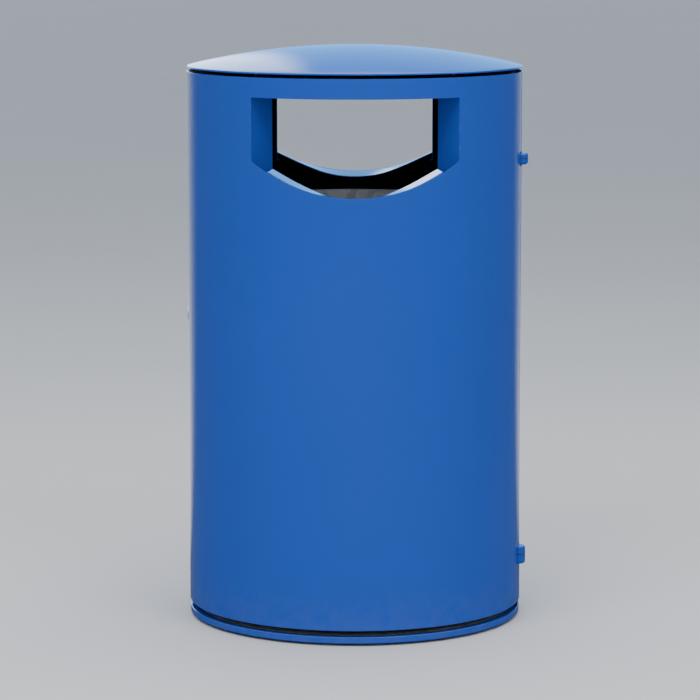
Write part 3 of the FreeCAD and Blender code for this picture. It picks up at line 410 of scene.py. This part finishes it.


# blue of the paint, with its red raised a little as a painted warm reflection
gloss_blue = coat(
    "gloss_blue_coat", colour=(0.018, 0.077, 0.42, 1.0), shade=(0.017, 0.071, 0.39, 1.0),
    worn=(0.16, 0.34, 0.70, 1.0), dust=(0.30, 0.28, 0.25, 1.0), gloss=(0.07, 0.12),
    fine_scale=260.0, peel=0.00003, specular=0.34)
# near-black coat for the inner faces: painted shade for the dark inside of the bin
interior_painted_shade = coat(
    "interior_painted_shade_coat", colour=(0.006, 0.006, 0.008, 1.0), shade=(0.004, 0.004, 0.006, 1.0),
    worn=(0.03, 0.03, 0.035, 1.0), dust=(0.03, 0.028, 0.025, 1.0), gloss=(0.5, 0.65),
    fine_scale=400.0, peel=0.0001, specular=0.2, dirt=0.4)
frame_black = coat(
    "frame_black_coat", colour=(0.012, 0.012, 0.014, 1.0), shade=(0.008, 0.008, 0.01, 1.0),
    worn=(0.06, 0.06, 0.065, 1.0), dust=(0.05, 0.046, 0.04, 1.0), gloss=(0.4, 0.55),
    fine_scale=400.0, peel=0.0001, specular=0.35)
galvanised = zinc("galvanised_sheet", colour=(0.70, 0.725, 0.74, 1.0), gloss=(0.36, 0.55),
                  contrast=0.4, scale=75.0, metallic=0.25)
bright_zinc = zinc("zinc_plate", colour=(0.6, 0.6, 0.58, 1.0), gloss=(0.22, 0.4),
                   contrast=0.12, scale=300.0, metallic=1.0)
black_rubber = moulded("black_rubber", colour=(0.012, 0.012, 0.012, 1.0),
                       worn=(0.03, 0.03, 0.03, 1.0), gloss=(0.6, 0.8), fine_scale=900.0,
                       relief=0.0002)
dark_nylon = moulded("dark_nylon", colour=(0.02, 0.022, 0.028, 1.0),
                     worn=(0.05, 0.05, 0.055, 1.0), gloss=(0.35, 0.5), fine_scale=1100.0,
                     relief=0.00008)

FINISHES = {
    "blue_paint": gloss_blue,
    "frame_paint": frame_black,
    "galvanised": galvanised,
    "zinc_steel": bright_zinc,
    "rubber": black_rubber,
    "nylon": dark_nylon,
}

for node, cad_piece in NODES.items():
    cad_piece.data.materials.clear()
    cad_piece.data.materials.append(FINISHES[SLOT_OF[node]])


# --- camera, light and floor -----------------------------------------------------------------

CAMERA_PLACE = (-0.0078, -5.0509, 1.1275)
CAMERA_TILT = 82.0575               # degrees up from straight down
CAMERA_LENS = 164.19                # millimetres, like the sensor
CAMERA_SENSOR = 36
AIM = Vector((0, 0, 0.5))           # middle of the bin, which all lights face
LIGHTS = {                          # place, width and power
    "key_light": ((-1.8, -3.4, 4.2), 2.8, 127),
    "fill_light": ((2.2, -3.4, 3.6), 2.8, 83),
    "front_light": ((0.0, -6.5, 2.2), 2.0, 60),
    "top_light": ((0.2, 0.4, 4.2), 3.0, 90),
}
FLOOR_PALE = (0.66, 0.66, 0.655, 1.0)
FLOOR_SHADE = (0.60, 0.60, 0.60, 1.0)
FLOOR_NEAR_GLOSS = (0.07, 0.075, 0.08, 1.0)
FLOOR_FAR_GLOSS = (1.0, 1.0, 1.0, 1.0)
FLOOR_BEHIND = (0.72, 0.94)         # share of the way that points to the rear
AMBIENT = (0.46, 0.48, 0.51, 1.0)
DIM_GLOSS = (0.13, 0.14, 0.16, 1.0)
SKY_GLOSS = (0.36, 0.98, 2.1, 1.0)
WALL_GLOSS = (2.6, 3.3, 4.4, 1.0)
OVERHEAD_GLOSS = (3.4, 4.4, 6.0, 1.0)
SKY_BEHIND = (0.78, 0.92)           # these three are limits of soft steps in the direction
WALL_LEFT = (0.036, 0.075)
OVERHEAD_UP = (0.45, 0.75)


def add_camera():
    bpy.ops.object.camera_add(location=CAMERA_PLACE, rotation=(radians(CAMERA_TILT), 0, 0))
    camera = named("camera")
    camera.data.lens = CAMERA_LENS
    camera.data.sensor_width = CAMERA_SENSOR
    camera.data.clip_end = 200
    bpy.context.scene.camera = camera


def add_softbox(name, place, size, power):
    """Square soft light that faces the middle of the bin."""
    aim = AIM - Vector(place)
    turn = aim.to_track_quat("-Z", "Y").to_euler()
    bpy.ops.object.light_add(type="AREA", location=place, rotation=turn)
    light = named(name)
    light.data.shape = "SQUARE"
    light.data.size = size
    light.data.energy = power
    light.visible_glossy = False
    light.visible_camera = False


def past(tree, value, low, high):
    """Soft step from 0 to 1 between two values."""
    return add_node(tree, "ShaderNodeMapRange",
                    {"Value": value, "From Min": low, "From Max": high},
                    interpolation_type="SMOOTHSTEP").outputs["Result"]


def add_floor():
    """Pale floor; gloss sees it dark in front and beside the bin, and bright far behind it."""
    none_selected()
    bpy.ops.mesh.primitive_plane_add(size=240)
    floor = named("floor")
    material, shader = new_material("pale_floor", {"Roughness": 0.8, "Specular IOR Level": 0.2})
    tree = material.node_tree
    noise = place_group(material, grain, fine_scale=40.0, broad_scale=0.8, broad_share=0.5)
    tone = mixed(tree, noise.outputs["Cloud"], FLOOR_SHADE, FLOOR_PALE)
    place = add_node(tree, "ShaderNodeTexCoord").outputs["Object"]
    way = add_node(tree, "ShaderNodeVectorMath", {0: place}, operation="NORMALIZE")
    rearward = add_node(tree, "ShaderNodeSeparateXYZ", {"Vector": way.outputs["Vector"]})
    behind = past(tree, rearward.outputs["Y"], *FLOOR_BEHIND)
    reflected = mixed(tree, behind, FLOOR_NEAR_GLOSS, FLOOR_FAR_GLOSS)
    is_gloss = add_node(tree, "ShaderNodeLightPath").outputs["Is Glossy Ray"]
    tree.links.new(mixed(tree, is_gloss, tone, reflected), shader.inputs["Base Color"])
    floor.data.materials.append(material)


def add_world():
    """Even pale light; gloss sees a dim studio, a pale sky and a white wall behind."""
    world = bpy.data.worlds.new("studio_wall")
    world.use_nodes = True
    tree = world.node_tree
    background = tree.nodes["Background"]
    direction = add_node(tree, "ShaderNodeTexCoord").outputs["Generated"]
    ways = add_node(tree, "ShaderNodeSeparateXYZ", {"Vector": direction}).outputs
    sky = past(tree, ways["Y"], *SKY_BEHIND)
    leftward = maths(tree, "MULTIPLY", ways["X"], -1.0)
    wall = maths(tree, "MULTIPLY", sky, past(tree, leftward, *WALL_LEFT))
    gloss = mixed(tree, sky, DIM_GLOSS, SKY_GLOSS)
    gloss = mixed(tree, wall, gloss, WALL_GLOSS)
    gloss = mixed(tree, past(tree, ways["Z"], *OVERHEAD_UP), gloss, OVERHEAD_GLOSS)
    is_gloss = add_node(tree, "ShaderNodeLightPath").outputs["Is Glossy Ray"]
    colour = mixed(tree, is_gloss, AMBIENT, gloss)
    tree.links.new(colour, background.inputs["Color"])
    background.inputs["Strength"].default_value = 1.0
    bpy.context.scene.world = world


def set_studio():
    none_selected()
    add_camera()
    for name, (place, size, power) in LIGHTS.items():
        add_softbox(name, place, size, power)
    add_floor()
    add_world()


# --- turned pieces ---------------------------------------------------------------------------

def corner_arc(centre, radius, start, end, steps=4):
    """Points of an arc in the plane of a profile, from one turn to another."""
    return [(centre[0] + radius * cos(radians(start + (end - start) * step / steps)),
             centre[1] + radius * sin(radians(start + (end - start) * step / steps)))
            for step in range(steps + 1)]


def turned(name, profile, steps=TURNS):
    """Extrude a chain of (radius, height) points and spin it round an upright axis."""
    none_selected()
    bpy.ops.mesh.primitive_plane_add(size=0.01, location=(0, 0, 0))
    piece = named(name)
    bpy.ops.object.mode_set(mode="EDIT")
    bpy.ops.mesh.select_mode(type="VERT")
    bpy.ops.mesh.select_all(action="SELECT")
    bpy.ops.mesh.merge(type="CENTER")
    points = [Vector((radius, 0, height)) for radius, height in profile]
    bpy.ops.transform.translate(value=points[0])
    for before, after in zip(points, points[1:]):
        bpy.ops.mesh.extrude_vertices_move(TRANSFORM_OT_translate={"value": after - before})
    bpy.ops.mesh.select_all(action="SELECT")
    bpy.ops.mesh.spin(steps=steps, angle=2 * pi, center=(0, 0, 0), axis=(0, 0, 1))
    bpy.ops.object.mode_set(mode="OBJECT")
    return smooth(cleaned(piece))


def make_lid():
    """Domed lid with a rolled edge that turns under."""
    low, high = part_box("lid_skin")
    radius = high.x
    shoulder = low.z + LID_LIP
    rise = high.z - shoulder
    curve = (radius ** 2 + rise ** 2) / (2 * rise)
    centre = high.z - curve
    lean = degrees(asin(radius / curve))
    outer = [(curve * sin(radians(lean * step / LID_STEPS)),
              centre + curve * cos(radians(lean * step / LID_STEPS)))
             for step in range(LID_STEPS)]
    outer += corner_arc((radius - LID_ROLL, shoulder - LID_ROLL), LID_ROLL, 90 - lean, 0, 5)
    outer += corner_arc((radius - FINE_EDGE, low.z + FINE_EDGE), FINE_EDGE, 0, -90, 3)
    inner_radius = radius - SKIN
    inner_curve = curve - SKIN
    inner_lean = degrees(asin(inner_radius / inner_curve))
    inner = [(inner_radius, low.z)]
    inner += [(inner_curve * sin(radians(inner_lean * step / LID_STEPS)),
               centre + inner_curve * cos(radians(inner_lean * step / LID_STEPS)))
              for step in range(LID_STEPS, -1, -1)]
    fitted(turned("lid_dome", outer + inner), "lid_skin")


def make_ring():
    """Base ring of flat bar with rounded outer corners."""
    low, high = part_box("base_ring")
    outside = high.x
    inside = outside - RING_WIDTH
    profile = [(inside, low.z)]
    profile += corner_arc((outside - RING_EDGE, low.z + RING_EDGE), RING_EDGE, -90, 0)
    profile += corner_arc((outside - RING_EDGE, high.z - RING_EDGE), RING_EDGE, 0, 90)
    profile += [(inside, high.z), (inside, low.z)]
    fitted(turned("foot_ring", profile), "base_ring")


def make_liner():
    """Galvanised liner wall with two swaged ribs, and its rolled bead."""
    low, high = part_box("liner_shell")
    outside = high.x
    wall = [(outside, low.z)]
    for level in RIB_LEVELS:
        wall += [(outside - RIB_DEPTH * (1 + cos(pi * step / RIB_STEPS)) / 2,
                  level + RIB_HALF * step / RIB_STEPS)
                 for step in range(-RIB_STEPS, RIB_STEPS + 1)]
    wall += [(outside, high.z)]
    lining = [(radius - LINER_SHEET, height) for radius, height in reversed(wall)]
    fitted(turned("liner_wall", wall + lining + wall[:1], steps=LINER_TURNS), "liner_shell")
    low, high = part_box("liner_bead")
    bead = (high.z - low.z) / 2
    rim = corner_arc((high.x - bead, low.z + bead), bead, 180, 540, 16)
    fitted(turned("liner_rolled_rim", rim, steps=LINER_TURNS), "liner_bead")


# --- rolled sheets ---------------------------------------------------------------------------

def sheet_grid(name, across, up):
    """Flat grid whose columns and rows are then put where a formula says."""
    none_selected()
    bpy.ops.mesh.primitive_grid_add(x_subdivisions=across, y_subdivisions=up, size=1,
                                    location=(0, 0, 0))
    return named(name)


def formed(piece, across, up, formula):
    """Move each crossing of the grid to the place that the formula gives for it."""
    cells = {}
    for vertex in piece.data.vertices:
        column = round((vertex.co.x + 0.5) * across)
        row = round((vertex.co.y + 0.5) * up)
        cells[vertex.index] = (column, row)
        vertex.co = formula(column, row)
    return cells


def cells_removed(piece, cells, is_open):
    """Delete the grid's faces whose low corner's column and row the test picks."""
    work_on(piece)
    bpy.ops.object.mode_set(mode="EDIT")
    bpy.ops.mesh.select_mode(type="FACE")
    bpy.ops.mesh.select_all(action="DESELECT")
    bpy.ops.object.mode_set(mode="OBJECT")
    for face in piece.data.polygons:
        column = min(cells[index][0] for index in face.vertices)
        row = min(cells[index][1] for index in face.vertices)
        face.select = is_open(column, row)
    bpy.ops.object.mode_set(mode="EDIT")
    bpy.ops.mesh.delete(type="FACE")
    bpy.ops.object.mode_set(mode="OBJECT")


def smile(across):
    """Height of the mouth's lower edge at a distance from the middle."""
    return MOUTH_BOTTOM + MOUTH_CURVE - sqrt(MOUTH_CURVE ** 2 - across ** 2)


def notch_span(hinge):
    """Lowest and highest level of the cut-out round a hinge."""
    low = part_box(f"casing_{hinge}_hinge")[0].z
    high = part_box(f"door_{hinge}_hinge")[1].z
    return low - BARREL_GAP, high + BARREL_GAP


def column_turns(start, end, marks):
    """Even turns from start to end, with the nearest ones moved onto the marks."""
    count = round((end - start) / COLUMN)
    turns = [start + (end - start) * index / count for index in range(count + 1)]
    for mark in marks:
        nearest = min(range(1, count), key=lambda index: abs(turns[index] - mark))
        turns[nearest] = mark
    return turns


def make_shell(name, node, start, mouth_turn, notch_mark, notch_first):
    """Half of the outer shell, rolled from one sheet, with its mouth and hinge cut-outs."""
    end = start + 180 - 2 * SEAM_HALF_GAP
    left, right = mouth_turn - MOUTH_HALF_TURN, mouth_turn + MOUTH_HALF_TURN
    turns = column_turns(start, end, (left, right, notch_mark))
    bottom_low, bottom_high = notch_span("bottom")
    top_low, top_high = notch_span("top")

    def levels(turn):
        offset = min(abs(turn - mouth_turn), MOUTH_HALF_TURN)
        beyond = max(abs(turn - mouth_turn) - MOUTH_HALF_TURN, 0)
        lip = smile(SHELL_RADIUS * sin(radians(offset))) - min(LIP_FALL_LIMIT, LIP_FALL * beyond)
        return (SHELL_BOTTOM, bottom_low, bottom_high, *SHELL_BANDS,
                min(top_low, lip - NOTCH_MARGIN), lip, top_high, MOUTH_TOP, SHELL_TOP)

    def on_shell(column, row):
        turn = turns[column]
        return Vector((SHELL_RADIUS * cos(radians(turn)), SHELL_RADIUS * sin(radians(turn)),
                       levels(turn)[row]))

    def is_open(column, row):
        middle = (turns[column] + turns[column + 1]) / 2
        in_mouth = abs(middle - mouth_turn) < MOUTH_HALF_TURN and row in MOUTH_ROWS
        beside_hinge = middle < notch_mark if notch_first else middle > notch_mark
        return in_mouth or (beside_hinge and row in NOTCH_ROWS)

    rows = len(levels(start)) - 1
    piece = sheet_grid(name, len(turns) - 1, rows)
    cells = formed(piece, len(turns) - 1, rows, on_shell)
    cells_removed(piece, cells, is_open)
    modified(piece, "SOLIDIFY", thickness=SKIN, offset=-1)
    for vertex in piece.data.vertices:
        turn = degrees(atan2(vertex.co.y, vertex.co.x)) % 360 - mouth_turn
        radius = hypot(vertex.co.x, vertex.co.y)
        if radius < SHELL_RADIUS - SKIN / 2 and abs(turn) < MOUTH_HALF_TURN + TURN_SLACK:
            # the cut edge of the mouth runs straight through the sheet, parallel to Y
            across = vertex.co.x * SHELL_RADIUS / radius
            vertex.co.x = across
            vertex.co.y = sqrt(INNER_RADIUS ** 2 - across ** 2) * (1 if mouth_turn < 180 else -1)
    rounded_edges(piece, EDGE)
    smooth(piece)
    fitted(piece, node)
    shade_painted_inside(piece, lambda centre, normal:
                   hypot(centre.x, centre.y) < INNER_RADIUS + COAT_SLACK)


def make_sill(name, node, side):
    """Dished lower panel of a mouth, ruled between the smile and the edge inside."""
    depth = sqrt(THROAT_RADIUS ** 2 - THROAT_HALF_WIDTH ** 2)
    bend_level = THROAT_CORNER - (THROAT_HALF_WIDTH - SILL_BEND) * tan(SILL_SLOPE)
    back_curve = SILL_BEND / sin(SILL_SLOPE)
    columns, rows = 72, 10

    def throat_edge(across):
        if abs(across) > SILL_BEND:
            return bend_level + (abs(across) - SILL_BEND) * tan(SILL_SLOPE)
        return bend_level + back_curve * cos(SILL_SLOPE) - sqrt(back_curve ** 2 - across ** 2)

    def crossing(front, back, radius):
        """Share of the way from front to back at which the line meets a radius."""
        run = back - front
        a = run.x ** 2 + run.y ** 2
        b = 2 * (front.x * run.x + front.y * run.y)
        c = front.x ** 2 + front.y ** 2 - radius ** 2
        return (-b - sqrt(max(b ** 2 - 4 * a * c, 0))) / (2 * a)

    def on_sill(column, row):
        share_across = 2 * column / columns - 1
        wide, narrow = share_across * SILL_HALF_WIDTH, share_across * THROAT_HALF_WIDTH
        front = Vector((wide, side * SHELL_RADIUS, smile(wide)))
        back = Vector((narrow, side * depth, throat_edge(narrow)))
        near = crossing(front, back, INNER_RADIUS)
        far = min(crossing(front, back, THROAT_RADIUS), 1.0)
        return front.lerp(back, near + (far - near) * row / rows)

    piece = sheet_grid(name, columns, rows)
    formed(piece, columns, rows, on_sill)
    modified(piece, "SOLIDIFY", thickness=SKIN, offset=-1 if side < 0 else 1)
    if side > 0:
        cleaned(piece)
    rounded_edges(piece, EDGE)
    smooth(piece)
    fitted(piece, node)
    shade_painted_inside(piece, lambda centre, normal: normal.z < -0.5)


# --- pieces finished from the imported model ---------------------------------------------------

def deburred(node, width, corner=35):
    """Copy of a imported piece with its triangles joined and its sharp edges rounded."""
    piece = bpy.data.objects.new(f"{node}_deburred", NODES[node].data.copy())
    bpy.context.scene.collection.objects.link(piece)
    work_on(piece)
    bpy.ops.mesh.customdata_custom_splitnormals_clear()
    bpy.ops.object.mode_set(mode="EDIT")
    bpy.ops.mesh.select_all(action="SELECT")
    bpy.ops.mesh.remove_doubles(threshold=WELD)
    bpy.ops.mesh.dissolve_limited(angle_limit=radians(0.4))
    bpy.ops.object.mode_set(mode="OBJECT")
    rounded_edges(piece, width, corner)
    smooth(piece)
    return fitted(piece, node)


def make_mouth_panels():
    for end, side in (("front", -1), ("rear", 1)):
        make_sill(f"{end}_dished_sill", f"{end}_sill", side)
        for hand, hand_side in (("left", -1), ("right", 1)):
            cheek = deburred(f"{end}_cheek_{hand}", FINE_EDGE)
            shade_painted_inside(cheek, lambda centre, normal, away=hand_side:
                           normal.x * away > 0.3 or normal.y * -side > 0.9)
        roof = deburred(f"{end}_roof", FINE_EDGE)
        shade_painted_inside(roof, lambda centre, normal: normal.z > 0.5)


set_studio()
make_shell("front_wall", "door_shell", SEAM_TURN + 180 + SEAM_HALF_GAP, FRONT_TURN,
           SEAM_TURN + 360 - NOTCH_TURN, False)
make_shell("rear_wall", "rear_shell", SEAM_TURN + SEAM_HALF_GAP, REAR_TURN,
           SEAM_TURN + NOTCH_TURN, True)
make_mouth_panels()
make_lid()
make_ring()
make_liner()
for edge, nodes in (
        (PLATE_EDGE, ("hinge_post", "lock_post", "door_hinge_stile", "door_lock_stile",
                      "door_top_rail", "door_middle_rail", "door_bottom_rail", "ring_brackets",
                      "base_brackets", "lock_keeper", "lid_frame", "lid_crossbar", "top_ring",
                      "front_lugs", "rear_lugs", "casing_top_hinge", "door_top_hinge",
                      "casing_bottom_hinge", "door_bottom_hinge")),
        (SCREW_EDGE, ("lock_housing", "lock_plug", "lock_cam", "lock_nut", "cam_screw",
                      "foot_screws", "lid_bolts", "lid_nuts")),
        (SOFT_EDGE, ("foot_pads", "door_buffers"))):
    for packed_node in nodes:
        deburred(packed_node, edge)
